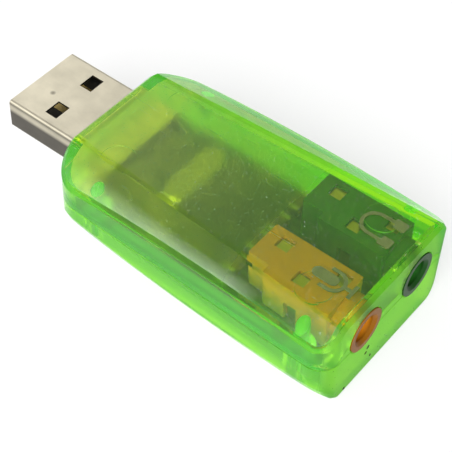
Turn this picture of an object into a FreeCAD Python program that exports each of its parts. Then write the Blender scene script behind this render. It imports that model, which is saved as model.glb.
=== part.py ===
import FreeCAD, Part
import math
import os
from FreeCAD import Vector

# A stick-shaped sound card: a clear case of two shells, with a plug at one end and two jacks at the other.
# Sizes are in millimetres. X runs from the plug to the jacks, Z is up, and the origin is under the middle.

# Case, seen from above
case_length = 42.5
case_half_width = 12.8
side_taper = 0.5
plug_end_half_width = case_half_width - side_taper
plug_corner_radius = 4.5
wall = 1.4

# Reach along the object: the plug stands out at one end, the jacks' noses a little at the other
plug_reach = 12.6
nose_proud = 0.1
overall_length = plug_reach + case_length + nose_proud
mouth_x = -overall_length / 2
plug_end_x = mouth_x + plug_reach
jack_end_x = plug_end_x + case_length
nose_face_x = jack_end_x + nose_proud

# Heights
lower_depth = 7.7
upper_depth = 6.3
parting_z = lower_depth
case_height = lower_depth + upper_depth

# Flat faces at the top and bottom, and the bevels beside them, whose outer edges are long arcs
flat_inset_plug = 4.9
flat_inset_jack = 3.0
corner_to_crease = 0.25
jack_corner_radius = flat_inset_jack - corner_to_crease
shoulder_inset = 0.1
upper_shoulder_rise = 4.4
upper_shoulder_peak = 22.4
upper_shoulder_radius = 190.0
lower_shoulder_drop = 4.3
lower_shoulder_peak = 29.0
lower_shoulder_radius = 160.0
crown_break = 0.5
bevel_corner = math.tan(math.radians(22.5))
bevel_overrun = 0.8

# Joint between the shells
parting_groove = 0.12
end_gap = 0.12
step_margin = 0.8
step_run = 2.1
step_radius = 1.0
lip_height = 0.8
lip_thickness = 0.7
lip_clearance = 0.1
lip_root = 1.2
lip_end_gap = 3.5
pin_radius = 0.85
pin_length = 3.0
pin_clearance = 0.1
socket_radius = 1.6
pin_inset_plug = 6.6
pin_inset_jack = 4.9
pin_inset_side = 2.35
ejector_radius = 2.25
ejector_height = 0.12
ejector_inset_end = 6.4
ejector_inset_side = 6.1

# Plug
shell_width = 12.0
shell_height = 4.5
shell_hold = 5.8
shell_length = plug_reach + shell_hold
shell_sheet = 0.3
shell_corner_radius = 0.5
shell_drop = 1.3
shell_bottom_z = parting_z - shell_drop
shell_end_x = mouth_x + shell_length
shell_seam = 0.12
mouth_chamfer = 0.12
window_front = 4.93
window_length = 1.9
window_width = 2.5
window_centre_y = 3.19
leg_width = 1.2
leg_inset = 1.7
leg_reach = 0.9
leg_x = shell_end_x - leg_inset
leg_y = shell_width / 2 - shell_corner_radius - shell_sheet
slot_clearance = 0.1

# Plug insulator and contacts
tongue_setback = 0.7
tongue_height = 1.9
block_length = 3.6
block_setback = 0.3
contact_width = 1.0
contact_sheet = 0.25
outer_contact_y = 3.5
inner_contact_y = 1.0
outer_contact_setback = 1.2
inner_contact_setback = 2.2
tail_gap = 0.9
tail_reach = 0.8
tail_x = shell_end_x + tail_gap

# Jacks
jack_rise = 1.4
jack_axis_z = parting_z + jack_rise
jack_side_inset = 7.58
jack_axis_y = case_half_width - jack_side_inset
nose_length = 3.15
nose_radius = 2.95
nose_clearance = 0.15
housing_length = 12.3
housing_half_width = 3.28
housing_headroom = 0.08
housing_top_z = case_height - wall - ejector_height - housing_headroom
housing_end_x = nose_face_x - nose_length
housing_start_x = housing_end_x - housing_length
housing_notch_length = 3.0
housing_notch_width = 1.1
housing_edge = 0.2
bore_radius = 1.8
bore_back_wall = 1.05
bore_depth = nose_length + housing_length - bore_back_wall
bore_chamfer = 0.4
spring_sheet = 0.3
spring_width = 1.6
spring_over_bore = 0.1
spring_contact_z = jack_axis_z + bore_radius + spring_over_bore
window_recess = 0.35
spring_leaf_z = housing_top_z - window_recess - spring_sheet
spring_side_gap = 0.6
spring_root = bore_radius + spring_side_gap + spring_sheet
spring_tip = 0.5
spring_pin_width = 0.9
pin_reach = 0.8
window_margin = 0.1
leg_slot_height = 3.0
tip_spring_place = 2.55
ring_spring_place = 7.05
sleeve_spring_gap = 1.65
sleeve_spring_place = housing_length - sleeve_spring_gap
spring_places = {
    "tip": (tip_spring_place, 1),
    "ring": (ring_spring_place, -1),
    "sleeve": (sleeve_spring_place, 1),
}

# Board
board_thickness = 1.2
board_top_z = shell_bottom_z
board_bottom_z = board_top_z - board_thickness
board_end_gap = 0.4
board_start_x = plug_end_x + wall + board_end_gap
board_nose_gap = 0.15
board_end_x = housing_end_x - board_nose_gap
board_side_margin = 0.4
board_half_width = jack_axis_y + housing_half_width + board_side_margin
board_corner_radius = 0.8
board_notch_clearance = 0.2
hole_clearance = 0.1
rib_thickness = 0.9
rib_half_width = 7.0
rib_clearance = 0.3
first_rib_gap = 0.05
rib_before_jacks = 1.0

# Parts on the board
crystal_gap = 4.05
crystal_length = 10.6
crystal_width = 4.0
crystal_height = 3.3
crystal_edge = 0.35
crystal_base_rim = 0.35
crystal_base_height = 0.4
crystal_lead_radius = 0.22
crystal_lead_spacing = 4.88
blob_radius = 2.4
blob_top_radius = 1.5
blob_height = 0.9
capacitor_length = 3.2
capacitor_width = 1.6
capacitor_height = 1.2
capacitor_end = 0.5
capacitor_inner_y = 1.9
capacitor_outer_y = 6.4
resistor_length = 1.6
resistor_width = 0.8
resistor_height = 0.45
resistor_end = 0.3
resistor_pitch = 2.2
resistor_edge_gap = 1.5
solder_reach = 0.4
solder_height = 0.6
margin = 1.0

# The resin drop and the capacitors stand between the crystal and the jacks with equal gaps
crystal_base_width = crystal_width + 2 * crystal_base_rim
crystal_x = tail_x + crystal_gap + crystal_base_width / 2
crystal_end_x = crystal_x + crystal_base_width / 2
row_gap = (housing_start_x - crystal_end_x - 2 * blob_radius - capacitor_width) / 3
blob_x = crystal_end_x + row_gap + blob_radius
capacitor_x = blob_x + blob_radius + row_gap + capacitor_width / 2


def on_plan(z):
    """Places outline points on a level plane."""
    return lambda x, y: Vector(x, y, z)


def on_section(x):
    """Places outline points on a plane across the object."""
    return lambda y, z: Vector(x, y, z)


def on_profile(y):
    """Places outline points on a plane along the object."""
    return lambda x, z: Vector(x, y, z)


def rounded_wire(corners, place):
    """Closed outline through (u, v, radius) corners, with an arc wherever the radius is not zero."""
    turns = []
    for index, (u, v, radius) in enumerate(corners):
        here = Vector(u, v, 0)
        before = Vector(*corners[index - 1][:2], 0)
        after = Vector(*corners[(index + 1) % len(corners)][:2], 0)
        back = (before - here).normalize()
        ahead = (after - here).normalize()
        half_angle = back.getAngle(ahead) / 2
        reach = radius / math.tan(half_angle)
        inward = (back + ahead).normalize() * (radius / math.sin(half_angle) - radius)
        turns.append((here + back * reach, here + inward, here + ahead * reach, radius))
    edges = []
    for index, (start, middle, end, radius) in enumerate(turns):
        if radius > 0:
            arc = Part.Arc(place(start.x, start.y), place(middle.x, middle.y), place(end.x, end.y))
            edges.append(arc.toShape())
        following = turns[(index + 1) % len(turns)][0]
        edges.append(Part.makeLine(place(end.x, end.y), place(following.x, following.y)))
    return Part.Wire(edges)


def prism(wire, direction):
    """Solid made by pushing a closed flat outline along a direction."""
    return Part.Face(wire).extrude(direction)


def block(x_range, y_range, z_range):
    """Box between two limits on each axis."""
    size = [high - low for low, high in (x_range, y_range, z_range)]
    return Part.makeBox(*size, Vector(x_range[0], y_range[0], z_range[0]))


def rod(radius, start, length, direction):
    """Round bar from a start point along a direction."""
    return Part.makeCylinder(radius, length, start, direction)


def along(plug_value, jack_value, x):
    """Value that changes evenly from the plug end of the case to the jack end."""
    share = (x - plug_end_x) / case_length
    return plug_value + (jack_value - plug_value) * share


def both_sides(place):
    """A place and its mirror image across the middle."""
    x, y = place
    return ((x, -y), (x, y))


def case_outline(inset, z):
    """Outline of the case from above, drawn in by an inset."""
    start = plug_end_x + inset
    end = jack_end_x - inset
    plug_half = plug_end_half_width - inset
    jack_half = case_half_width - inset
    plug_radius = plug_corner_radius - inset
    jack_radius = jack_corner_radius - inset
    corners = [
        (start, -plug_half, plug_radius),
        (end, -jack_half, jack_radius),
        (end, jack_half, jack_radius),
        (start, plug_half, plug_radius),
    ]
    return rounded_wire(corners, on_plan(z))


def crease_point(x, up, side, inset):
    """Point on the line where a flat face turns into the bevel beside it; up and side are 1 or -1."""
    level = upper_depth if up > 0 else lower_depth
    side_half = along(plug_end_half_width, case_half_width, x)
    flat_half = side_half - along(flat_inset_plug, flat_inset_jack, x) - inset * bevel_corner
    return Vector(x, side * flat_half, parting_z + up * (level - inset))


def shoulder_point(x, up, side, inset):
    """Point where a bevel, carried on past its arched shoulder, leaves the side of the case."""
    if up > 0:
        rise = upper_shoulder_rise
        off_peak = x - plug_end_x - upper_shoulder_peak
        arch = off_peak ** 2 / (2 * upper_shoulder_radius)
    else:
        rise = lower_shoulder_drop
        off_peak = x - plug_end_x - lower_shoulder_peak
        arch = off_peak ** 2 / (2 * lower_shoulder_radius)
    side_half = along(plug_end_half_width, case_half_width, x)
    height = rise - arch - inset * bevel_corner
    shoulder = Vector(x, side * (side_half - shoulder_inset - inset), parting_z + up * height)
    crease = crease_point(x, up, side, inset)
    run = case_half_width + bevel_overrun
    share = (run - abs(crease.y)) / (abs(shoulder.y) - abs(crease.y))
    return crease + (shoulder - crease) * share


def bevel_cutter(up, side, inset):
    """Block whose face, ruled from the straight crease to the shoulder, cuts one bevel.

    The outer shoulder is an arc; the hollow's is straight, so the wall is thickest under the arc's peak.
    """
    start = plug_end_x - margin
    middle = plug_end_x + case_length / 2
    end = jack_end_x + margin
    crease = Part.makeLine(crease_point(start, up, side, inset), crease_point(end, up, side, inset))
    ends = (shoulder_point(start, up, side, inset), shoulder_point(end, up, side, inset))
    shoulder = Part.makeLine(*ends)
    if inset == 0:
        shoulder = Part.Arc(ends[0], shoulder_point(middle, up, side, inset), ends[1]).toShape()
    return Part.makeRuledSurface(crease, shoulder).extrude(Vector(0, 0, up * case_height))


def half_case(up, inset):
    """Solid half of the case, drawn in by an inset: upright walls, a flat face and two bevels."""
    depth = upper_depth if up > 0 else lower_depth
    walls = prism(case_outline(inset, parting_z), Vector(0, 0, up * (depth - inset)))
    return walls.cut([bevel_cutter(up, side, inset) for side in (-1, 1)])


def soft_half_case(up):
    """Half of the case with every edge that stands clear of the joint broken."""
    solid = half_case(up, 0.0)
    crown = []
    for edge in solid.Edges:
        if min(abs(vertex.Z - parting_z) for vertex in edge.Vertexes) > crown_break:
            crown.append(edge)
    return solid.makeChamfer(crown_break, crown)


def step_solid(gap):
    """Raised middle of the lower shell's end wall, up to the jacks' axes, grown by a gap."""
    start = jack_end_x - wall - margin
    top = jack_axis_y + nose_radius + step_margin + gap
    foot = top + step_run
    base_z = parting_z - margin
    foot_z = parting_z
    top_z = jack_axis_z + gap
    corners = [
        (-case_half_width, base_z, 0),
        (-case_half_width, foot_z, 0),
        (-foot, foot_z, step_radius),
        (-top, top_z, step_radius),
        (top, top_z, step_radius),
        (foot, foot_z, step_radius),
        (case_half_width, foot_z, 0),
        (case_half_width, base_z, 0),
    ]
    return prism(rounded_wire(corners, on_section(start)), Vector(wall + 2 * margin, 0, 0))


def end_openings():
    """Holes in the end walls for the plug's shell and the jacks' noses."""
    holes = [plug_outline_solid(slot_clearance, plug_end_x - margin, wall + 2 * margin)]
    for side in (-1, 1):
        start = Vector(jack_end_x - wall - margin, side * jack_axis_y, jack_axis_z)
        holes.append(rod(nose_radius + nose_clearance, start, wall + 2 * margin, Vector(1, 0, 0)))
    return holes


def pin_places():
    """Centres of the four locating pins."""
    plug_place = (plug_end_x + pin_inset_plug, plug_end_half_width - pin_inset_side)
    jack_place = (jack_end_x - pin_inset_jack, case_half_width - pin_inset_side)
    return both_sides(plug_place) + both_sides(jack_place)


def parting_groove_ring():
    """Fine groove round the outside where the shells meet."""
    low = parting_z - parting_groove / 2
    outer = prism(case_outline(-margin, low), Vector(0, 0, parting_groove))
    inner = prism(case_outline(parting_groove, low), Vector(0, 0, parting_groove))
    return outer.cut(inner)


def upper_pins(solid_half):
    """Locating pins that hang from the upper shell into the lower one."""
    pins = []
    for x, y in pin_places():
        root = rod(pin_radius, Vector(x, y, parting_z), case_height - parting_z, Vector(0, 0, 1))
        pins.append(root.common(solid_half))
        pins.append(rod(pin_radius, Vector(x, y, parting_z - pin_length), pin_length, Vector(0, 0, 1)))
    return pins


def ejector_marks():
    """Low round pads that the mould's ejector pins leave on the ceiling."""
    plug_place = (plug_end_x + ejector_inset_end, plug_end_half_width - ejector_inset_side)
    jack_place = (jack_end_x - ejector_inset_end, case_half_width - ejector_inset_side)
    pads = []
    for x, y in both_sides(plug_place) + both_sides(jack_place):
        start = Vector(x, y, case_height - wall - ejector_height)
        pads.append(rod(ejector_radius, start, ejector_height + wall / 2, Vector(0, 0, 1)))
    return pads


def upper_shell_walls():
    """Upper half of the case with its hollow, before the joint is cut."""
    solid = soft_half_case(1)
    return solid, solid.cut(half_case(1, wall))


def upper_case():
    """Upper shell with its pins and the cut-out over the jacks."""
    solid, hollow = upper_shell_walls()
    shell = hollow.fuse(upper_pins(solid) + ejector_marks())
    return shell.cut([step_solid(end_gap), parting_groove_ring()] + end_openings()).removeSplitter()


def joint_lip():
    """Ridges along the lower shell's sides that stand inside the upper shell."""
    start_x = plug_end_x + pin_inset_plug + lip_end_gap
    end_x = jack_end_x - pin_inset_jack - lip_end_gap
    span = block((start_x, end_x), (-case_half_width, case_half_width), (0, case_height))
    inner_inset = wall + lip_clearance + lip_thickness

    def ring(outer_inset, low, height):
        outer = prism(case_outline(outer_inset, low), Vector(0, 0, height))
        inner = prism(case_outline(inner_inset, low), Vector(0, 0, height))
        return outer.cut(inner).common(span)

    ridge = ring(wall + lip_clearance, parting_z, lip_height)
    root = ring(wall / 2, parting_z - lip_root, lip_root)
    return [ridge, root]


def lower_sockets(solid_half):
    """Round sockets that take the upper shell's pins."""
    sockets = []
    for x, y in pin_places():
        post = rod(socket_radius, Vector(x, y, 0), parting_z, Vector(0, 0, 1))
        sockets.append(post.common(solid_half))
    return sockets


def socket_bores():
    """Blind holes in the sockets, a little wider and deeper than the pins."""
    start_z = parting_z - pin_length - pin_clearance
    bores = []
    for x, y in pin_places():
        bores.append(rod(pin_radius + pin_clearance, Vector(x, y, start_z), case_height, Vector(0, 0, 1)))
    return bores


def board_ribs():
    """Ribs across the floor that carry the board; the first stands between the plug's legs."""
    first_x = board_start_x + first_rib_gap + rib_thickness / 2
    first_half = leg_y - shell_sheet / 2 - solder_reach - rib_clearance
    last_x = housing_start_x - rib_before_jacks
    ribs = []
    for x, half in ((first_x, first_half), (blob_x, rib_half_width), (last_x, rib_half_width)):
        x_range = (x - rib_thickness / 2, x + rib_thickness / 2)
        ribs.append(block(x_range, (-half, half), (wall / 2, board_bottom_z)))
    return ribs


def lower_case():
    """Lower shell with sockets, ribs, lips and the raised wall under the jacks."""
    solid = soft_half_case(-1)
    hollow = solid.cut(half_case(-1, wall))
    raised = upper_shell_walls()[1].common(step_solid(0.0))
    shell = hollow.fuse([raised] + lower_sockets(solid) + board_ribs() + joint_lip())
    return shell.cut([parting_groove_ring()] + socket_bores() + end_openings()).removeSplitter()


def plug_outline_solid(grow, start_x, length):
    """Bar with the outline of the plug's shell, grown on every side."""
    half = shell_width / 2 + grow
    low = shell_bottom_z - grow
    high = shell_bottom_z + shell_height + grow
    radius = shell_corner_radius + grow
    corners = [(-half, low, radius), (half, low, radius), (half, high, radius), (-half, high, radius)]
    return prism(rounded_wire(corners, on_section(start_x)), Vector(length, 0, 0))


def leg_solids():
    """Two tabs that hold the plug's shell in the board."""
    legs = []
    for side in (-1, 1):
        centre = side * leg_y
        x_range = (leg_x - leg_width / 2, leg_x + leg_width / 2)
        y_range = (centre - shell_sheet / 2, centre + shell_sheet / 2)
        legs.append(block(x_range, y_range, (board_bottom_z - leg_reach, shell_bottom_z + shell_sheet)))
    return legs


def usb_shell():
    """Folded sheet tube with two latch windows in each wide face and a seam underneath."""
    outer = plug_outline_solid(0.0, mouth_x, shell_length)
    front = [edge for edge in outer.Edges if edge.BoundBox.XMax < mouth_x + mouth_chamfer]
    tube = outer.makeChamfer(mouth_chamfer, front)
    tube = tube.cut(plug_outline_solid(-shell_sheet, mouth_x - margin, shell_length + 2 * margin))
    x_range = (mouth_x + window_front, mouth_x + window_front + window_length)
    z_range = (shell_bottom_z - margin, shell_bottom_z + shell_height + margin)
    cuts = []
    for side in (-1, 1):
        centre = side * window_centre_y
        cuts.append(block(x_range, (centre - window_width / 2, centre + window_width / 2), z_range))
    seam_x = (mouth_x - margin, mouth_x + shell_length + margin)
    seam_z = (shell_bottom_z - margin, shell_bottom_z + shell_sheet + margin / 2)
    cuts.append(block(seam_x, (-shell_seam / 2, shell_seam / 2), seam_z))
    return tube.cut(cuts).fuse(leg_solids()).removeSplitter()


def contact_places():
    """Where the four contacts lie across the tongue, and how far each starts behind its front edge."""
    outer = (outer_contact_y, outer_contact_setback)
    inner = (inner_contact_y, inner_contact_setback)
    return [(side * y, setback) for side in (-1, 1) for y, setback in (outer, inner)]


def contact_strip(centre_y, setback):
    """One contact: a flat strip along the tongue that turns down into the board."""
    top_z = shell_bottom_z + shell_sheet + tongue_height
    start_x = mouth_x + tongue_setback + setback
    low_z = board_bottom_z - tail_reach
    outline = [
        (start_x, top_z - contact_sheet, 0),
        (tail_x - contact_sheet, top_z - contact_sheet, 0),
        (tail_x - contact_sheet, low_z, 0),
        (tail_x, low_z, 0),
        (tail_x, top_z, contact_sheet),
        (start_x, top_z, 0),
    ]
    wire = rounded_wire(outline, on_profile(centre_y - contact_width / 2))
    return prism(wire, Vector(0, contact_width, 0))


def usb_contacts():
    """The four contacts side by side."""
    return Part.makeCompound([contact_strip(y, setback) for y, setback in contact_places()])


def usb_insulator():
    """Moulded tongue in the lower half of the plug, with the block that fills its rear end."""
    floor_z = shell_bottom_z + shell_sheet
    rear_x = shell_end_x - block_setback
    inside = plug_outline_solid(-shell_sheet, mouth_x + tongue_setback, rear_x - mouth_x - tongue_setback)
    half = shell_width / 2
    tongue = block((mouth_x, rear_x), (-half, half), (floor_z, floor_z + tongue_height))
    rear = block((rear_x - block_length, rear_x), (-half, half), (floor_z, board_top_z + shell_height))
    moulding = inside.common(tongue.fuse(rear))
    return moulding.cut([contact_strip(y, setback) for y, setback in contact_places()]).removeSplitter()


def crystal_lead_places():
    """Where the crystal's two wires pass through the board."""
    return both_sides((crystal_x, crystal_lead_spacing / 2))


def spring_pin_place(side_y, name):
    """Where the pin of one jack spring passes through the board."""
    offset, turn = spring_places[name]
    return (housing_start_x + offset, side_y + turn * (spring_root - spring_sheet / 2))


def pin_holes():
    """Every place where a pin comes through the board, with the half sizes of its hole."""
    places = []
    for y, _ in contact_places():
        places.append((tail_x - contact_sheet / 2, y, contact_sheet / 2, contact_width / 2))
    for x, y in crystal_lead_places():
        places.append((x, y, crystal_lead_radius, crystal_lead_radius))
    for side in (-1, 1):
        for name in spring_places:
            x, y = spring_pin_place(side * jack_axis_y, name)
            places.append((x, y, spring_pin_width / 2, spring_sheet / 2))
        places.append((leg_x, side * leg_y, leg_width / 2, shell_sheet / 2))
    return places


def circuit_board():
    """Flat board with notches round the pin sockets and a slot for every pin."""
    half = board_half_width
    corners = [
        (board_start_x, -half, board_corner_radius),
        (board_end_x, -half, board_corner_radius),
        (board_end_x, half, board_corner_radius),
        (board_start_x, half, board_corner_radius),
    ]
    board = prism(rounded_wire(corners, on_plan(board_bottom_z)), Vector(0, 0, board_thickness))
    cuts = []
    notch_radius = socket_radius + board_notch_clearance
    for x, y in pin_places():
        cuts.append(rod(notch_radius, Vector(x, y, 0), case_height, Vector(0, 0, 1)))
    for x, y, half_x, half_y in pin_holes():
        x_range = (x - half_x - hole_clearance, x + half_x + hole_clearance)
        y_range = (y - half_y - hole_clearance, y + half_y + hole_clearance)
        cuts.append(block(x_range, y_range, (0, case_height)))
    return board.cut(cuts)


def solder_joint(x, y, half_x, half_y):
    """A foot of solder under the board round one pin, as wide as the pin's hole at its lower end."""
    low_x = half_x + hole_clearance
    low_y = half_y + hole_clearance
    high_x = half_x + solder_reach
    high_y = half_y + solder_reach
    foot = Part.makeWedge(-low_x, 0, -low_y, -high_y, -high_x, low_x, solder_height, low_y, high_y, high_x)
    foot.rotate(Vector(0, 0, 0), Vector(1, 0, 0), 90)
    foot.translate(Vector(x, y, board_bottom_z - solder_height))
    pin = block((x - half_x, x + half_x), (y - half_y, y + half_y), (0, case_height))
    if half_x == half_y:
        pin = rod(half_x, Vector(x, y, 0), case_height, Vector(0, 0, 1))
    return foot.cut(pin)


def solder_joints():
    """Solder on every pin under the board."""
    return Part.makeCompound([solder_joint(*hole) for hole in pin_holes()])


def spring(side_y, name):
    """Jack contact: a leaf over the bore, its tip bent down to the plug, its root down into the board."""
    offset, turn = spring_places[name]
    leaf_z = spring_leaf_z
    tip_y = side_y + turn * spring_tip
    root_y = side_y + turn * spring_root
    inner_y = root_y - turn * spring_sheet
    bend_y = tip_y + turn * spring_sheet
    outline = [
        (tip_y, spring_contact_z, 0),
        (bend_y, spring_contact_z, 0),
        (bend_y, leaf_z, 0),
        (inner_y, leaf_z, 0),
        (inner_y, board_top_z, 0),
        (root_y, board_top_z, 0),
        (root_y, leaf_z + spring_sheet, spring_sheet),
        (tip_y, leaf_z + spring_sheet, spring_sheet),
    ]
    start_x = housing_start_x + offset - spring_width / 2
    leaf = prism(rounded_wire(outline, on_section(start_x)), Vector(spring_width, 0, 0))
    pin_x, pin_y = spring_pin_place(side_y, name)
    x_range = (pin_x - spring_pin_width / 2, pin_x + spring_pin_width / 2)
    y_range = (pin_y - spring_sheet / 2, pin_y + spring_sheet / 2)
    pin = block(x_range, y_range, (board_bottom_z - pin_reach, board_top_z))
    return leaf.fuse(pin).removeSplitter()


def window_over_spring(side_y, name):
    """Square window in the housing's top, down to one spring."""
    offset, turn = spring_places[name]
    x = housing_start_x + offset
    edges = sorted((side_y + turn * spring_tip, side_y + turn * (spring_root - spring_sheet)))
    half = spring_width / 2 + window_margin
    return block((x - half, x + half), edges, (spring_leaf_z, housing_top_z + margin))


def slot_under_spring(side_y, name):
    """Gap between one spring's leaf and the bore, where a plug meets the leaf."""
    offset, turn = spring_places[name]
    x = housing_start_x + offset
    edges = sorted((side_y + turn * spring_tip, side_y + turn * bore_radius))
    half = spring_width / 2 + window_margin
    return block((x - half, x + half), edges, (jack_axis_z, spring_leaf_z))


def slot_beside_spring(side_y, name):
    """Opening in the housing's side, up from the board, that shows the foot of one spring."""
    offset, turn = spring_places[name]
    x = housing_start_x + offset
    edges = sorted((side_y + turn * spring_root, side_y + turn * (housing_half_width + margin)))
    half = spring_width / 2 + window_margin
    return block((x - half, x + half), edges, (board_top_z - margin, board_top_z + leg_slot_height))


def jack_housing(side_y):
    """Jack body with a stepped rear corner, a round nose, the bore and the springs' pockets."""
    half = housing_half_width
    notch_x = housing_start_x + housing_notch_length
    corners = [
        (housing_start_x, side_y - half + housing_notch_width, housing_edge),
        (notch_x, side_y - half + housing_notch_width, 0),
        (notch_x, side_y - half, housing_edge),
        (housing_end_x, side_y - half, housing_edge),
        (housing_end_x, side_y + half, housing_edge),
        (housing_start_x, side_y + half, housing_edge),
    ]
    height = housing_top_z - board_top_z
    body = prism(rounded_wire(corners, on_plan(board_top_z)), Vector(0, 0, height))
    forward = Vector(1, 0, 0)
    nose = rod(nose_radius, Vector(housing_end_x, side_y, jack_axis_z), nose_length, forward)
    bore = rod(bore_radius, Vector(nose_face_x - bore_depth, side_y, jack_axis_z), bore_depth, forward)
    mouth_start = Vector(nose_face_x - bore_chamfer, side_y, jack_axis_z)
    mouth = Part.makeCone(bore_radius, bore_radius + bore_chamfer, bore_chamfer, mouth_start, forward)
    cuts = [bore, mouth]
    for name in spring_places:
        cuts.append(spring(side_y, name))
        cuts.append(window_over_spring(side_y, name))
        cuts.append(slot_under_spring(side_y, name))
        cuts.append(slot_beside_spring(side_y, name))
    return body.fuse(nose).cut(cuts).removeSplitter()


def oblong(length, width, z):
    """Outline with two straight sides and round ends, across the board at the crystal."""
    half_x = width / 2
    straight = (length - width) / 2
    edges = []
    for side in (-1, 1):
        start = Vector(crystal_x - side * half_x, side * straight, z)
        middle = Vector(crystal_x, side * length / 2, z)
        end = Vector(crystal_x + side * half_x, side * straight, z)
        edges.append(Part.Arc(start, middle, end).toShape())
        edges.append(Part.makeLine(end, Vector(end.x, -end.y, z)))
    return Part.Wire(edges)


def crystal_base():
    """Flange that the crystal's can is welded to."""
    length = crystal_length + 2 * crystal_base_rim
    return prism(oblong(length, crystal_base_width, board_top_z), Vector(0, 0, crystal_base_height))


def crystal_can():
    """Drawn metal can with a broken top edge."""
    base_z = board_top_z + crystal_base_height
    top_z = board_top_z + crystal_height
    can = prism(oblong(crystal_length, crystal_width, base_z), Vector(0, 0, top_z - base_z))
    top = [edge for edge in can.Edges if edge.BoundBox.ZMin > top_z - crystal_edge]
    return can.makeChamfer(crystal_edge, top)


def crystal_lead_rods():
    """The crystal's two wires, from the base down through the board."""
    start_z = board_bottom_z - tail_reach
    length = board_top_z - start_z
    return [
        rod(crystal_lead_radius, Vector(x, y, start_z), length, Vector(0, 0, 1))
        for x, y in crystal_lead_places()
    ]


def codec_blob():
    """Drop of resin over the audio chip: a low cone with a flat top."""
    return Part.makeCone(blob_radius, blob_top_radius, blob_height, Vector(blob_x, 0, board_top_z))


def capacitor_places():
    """Four capacitors in a row in front of the jacks."""
    return both_sides((capacitor_x, capacitor_inner_y)) + both_sides((capacitor_x, capacitor_outer_y))


def resistor_places():
    """Two resistors along each edge of the board, beside the resin drop."""
    y = board_half_width - resistor_edge_gap
    return both_sides((blob_x - resistor_pitch / 2, y)) + both_sides((blob_x + resistor_pitch / 2, y))


def capacitor_bodies():
    """Bodies of the capacitors, which lie across the board, between their end caps."""
    half_x = capacitor_width / 2
    half_y = capacitor_length / 2 - capacitor_end
    z_range = (board_top_z, board_top_z + capacitor_height)
    return Part.makeCompound([
        block((x - half_x, x + half_x), (y - half_y, y + half_y), z_range)
        for x, y in capacitor_places()
    ])


def capacitor_ends():
    """Metal end caps of the capacitors."""
    half_x = capacitor_width / 2
    z_range = (board_top_z, board_top_z + capacitor_height)
    caps = []
    for x, y in capacitor_places():
        for start_y in (y - capacitor_length / 2, y + capacitor_length / 2 - capacitor_end):
            caps.append(block((x - half_x, x + half_x), (start_y, start_y + capacitor_end), z_range))
    return Part.makeCompound(caps)


def resistor_bodies():
    """Bodies of the resistors, which lie along the board, between their end caps."""
    half_x = resistor_length / 2 - resistor_end
    half_y = resistor_width / 2
    z_range = (board_top_z, board_top_z + resistor_height)
    return Part.makeCompound([
        block((x - half_x, x + half_x), (y - half_y, y + half_y), z_range)
        for x, y in resistor_places()
    ])


def resistor_ends():
    """Metal end caps of the resistors."""
    half_y = resistor_width / 2
    z_range = (board_top_z, board_top_z + resistor_height)
    caps = []
    for x, y in resistor_places():
        for start_x in (x - resistor_length / 2, x + resistor_length / 2 - resistor_end):
            caps.append(block((start_x, start_x + resistor_end), (y - half_y, y + half_y), z_range))
    return Part.makeCompound(caps)


def all_parts():
    """Every piece of the sound card under its own name."""
    parts = {
        "upper_case": upper_case(),
        "lower_case": lower_case(),
        "usb_shell": usb_shell(),
        "usb_insulator": usb_insulator(),
        "usb_contacts": usb_contacts(),
        "circuit_board": circuit_board(),
        "solder_joints": solder_joints(),
        "crystal_base": crystal_base(),
        "crystal_can": crystal_can(),
        "crystal_leads": Part.makeCompound(crystal_lead_rods()),
        "codec_blob": codec_blob(),
        "capacitor_bodies": capacitor_bodies(),
        "capacitor_ends": capacitor_ends(),
        "resistor_bodies": resistor_bodies(),
        "resistor_ends": resistor_ends(),
    }
    for jack, side in (("microphone", -1), ("headphone", 1)):
        parts[jack + "_housing"] = jack_housing(side * jack_axis_y)
        for name in spring_places:
            parts[jack + "_" + name + "_spring"] = spring(side * jack_axis_y, name)
    return parts


os.makedirs("parts", exist_ok=True)
for part_name, shape in all_parts().items():
    shape.exportStep("parts/" + part_name + ".step")
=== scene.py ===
import math
import random

import bmesh
import bpy
from bpy.props import FloatProperty, FloatVectorProperty, PointerProperty
from bpy.types import Operator, Panel, PropertyGroup
from mathutils import Matrix, Vector


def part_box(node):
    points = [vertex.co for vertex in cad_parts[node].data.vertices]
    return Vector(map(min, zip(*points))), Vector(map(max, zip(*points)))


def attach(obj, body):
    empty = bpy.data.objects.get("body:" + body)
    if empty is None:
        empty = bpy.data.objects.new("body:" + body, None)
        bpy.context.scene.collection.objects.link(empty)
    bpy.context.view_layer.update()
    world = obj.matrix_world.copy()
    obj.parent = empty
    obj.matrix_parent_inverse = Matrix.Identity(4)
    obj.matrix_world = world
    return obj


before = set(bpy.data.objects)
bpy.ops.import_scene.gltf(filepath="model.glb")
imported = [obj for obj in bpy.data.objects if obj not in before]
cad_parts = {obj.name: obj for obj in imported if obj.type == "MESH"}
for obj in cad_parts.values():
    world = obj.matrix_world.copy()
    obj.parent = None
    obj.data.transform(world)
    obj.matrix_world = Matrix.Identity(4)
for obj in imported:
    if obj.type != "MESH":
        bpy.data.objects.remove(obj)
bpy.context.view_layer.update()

bl_info = {
    "name": "Sound card stick",
    "version": (1, 0, 0),
    "blender": (4, 5, 0),
    "location": "View3D > Sidebar > Sound card",
    "description": "Gives the packed sound card its plastics, metals, signs, grime and studio",
    "category": "Object",
}

MM = 0.001
BODY = "root"

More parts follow.
